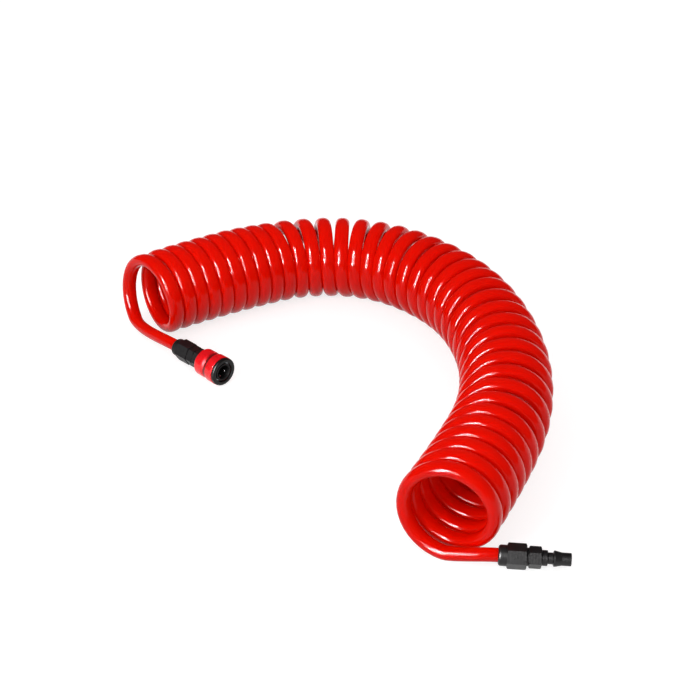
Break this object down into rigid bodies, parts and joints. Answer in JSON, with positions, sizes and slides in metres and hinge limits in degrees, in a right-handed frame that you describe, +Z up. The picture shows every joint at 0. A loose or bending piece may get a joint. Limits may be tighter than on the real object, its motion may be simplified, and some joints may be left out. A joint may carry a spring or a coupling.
{
  "type": "coiled air hose",
  "caption": "Red recoil air hose wound as a long coil and lying in a curve, with a push-to-connect socket with a sliding release sleeve on one end and a plug on the other.",
  "frame": {"origin": "on the floor below the middle of the whole part's bounding box", "axes": "+Z up; +X to the right and +Y away, as seen from the side that the coil's open bend faces; the socket is on the left and the plug at the near right"},
  "size_m": [0.4382, 0.544, 0.0913],
  "materials": {
    "hose": "glossy, slightly translucent red polyurethane",
    "black_anodised": "black anodised aluminium, satin",
    "red_anodised": "red anodised aluminium, bright",
    "seal_rubber": "matte black nitrile rubber",
    "spring_steel": "drawn spring steel",
    "ball_steel": "polished bearing steel",
    "valve_brass": "turned brass"
  },
  "bodies": {
    "hose_and_fittings": {"hose_coil": "hose", "hose_lead_socket": "hose", "hose_lead_plug": "hose", "hose_end_socket": "hose", "hose_end_plug": "hose", "socket_nut": "black_anodised", "socket_stem": "black_anodised", "body_gasket": "seal_rubber", "socket_body": "black_anodised", "plug_packing": "seal_rubber", "valve_spring": "spring_steel", "sleeve_spring": "spring_steel", "sleeve_stop_ring": "spring_steel", "plug_nut": "black_anodised", "plug_body": "black_anodised"},
    "sleeve": {"release_sleeve": "red_anodised", "front_guard": "black_anodised"},
    "valve": {"valve_poppet": "valve_brass", "valve_seal": "seal_rubber"},
    "ball_1": {"locking_ball_1": "ball_steel"},
    "ball_2": {"locking_ball_2": "ball_steel"},
    "ball_3": {"locking_ball_3": "ball_steel"},
    "ball_4": {"locking_ball_4": "ball_steel"},
    "ball_5": {"locking_ball_5": "ball_steel"},
    "ball_6": {"locking_ball_6": "ball_steel"}
  },
  "joints": [
    {"name": "sleeve_slide", "type": "slide", "parent": "hose_and_fittings", "child": "sleeve", "axis": [-0.7147, 0.6995, 0], "range_m": [0, 0.0045], "stiffness_N_per_m": 800, "springref_m": -0.003, "deforming": ["sleeve_spring"]},
    {"name": "valve_slide", "type": "slide", "parent": "hose_and_fittings", "child": "valve", "axis": [-0.7147, 0.6995, 0], "range_m": [0, 0.005], "stiffness_N_per_m": 400, "springref_m": -0.002, "deforming": ["valve_spring"]},
    {"name": "ball_1_slide", "type": "slide", "parent": "hose_and_fittings", "child": "ball_1", "axis": [0.6057, 0.6189, -0.5], "range_m": [0, 0.0013]},
    {"name": "ball_2_slide", "type": "slide", "parent": "hose_and_fittings", "child": "ball_2", "axis": [0.6057, 0.6189, 0.5], "range_m": [0, 0.0013]},
    {"name": "ball_3_slide", "type": "slide", "parent": "hose_and_fittings", "child": "ball_3", "axis": [0, 0, 1], "range_m": [0, 0.0013]},
    {"name": "ball_4_slide", "type": "slide", "parent": "hose_and_fittings", "child": "ball_4", "axis": [-0.6057, -0.6189, 0.5], "range_m": [0, 0.0013]},
    {"name": "ball_5_slide", "type": "slide", "parent": "hose_and_fittings", "child": "ball_5", "axis": [-0.6057, -0.6189, -0.5], "range_m": [0, 0.0013]},
    {"name": "ball_6_slide", "type": "slide", "parent": "hose_and_fittings", "child": "ball_6", "axis": [0, 0, -1], "range_m": [0, 0.0013]}
  ],
  "couplings": [
    {"joint": "ball_1_slide", "follows": "sleeve_slide", "ratio": 0.28888},
    {"joint": "ball_2_slide", "follows": "sleeve_slide", "ratio": 0.28888},
    {"joint": "ball_3_slide", "follows": "sleeve_slide", "ratio": 0.28888},
    {"joint": "ball_4_slide", "follows": "sleeve_slide", "ratio": 0.28888},
    {"joint": "ball_5_slide", "follows": "sleeve_slide", "ratio": 0.28888},
    {"joint": "ball_6_slide", "follows": "sleeve_slide", "ratio": 0.28888}
  ]
}
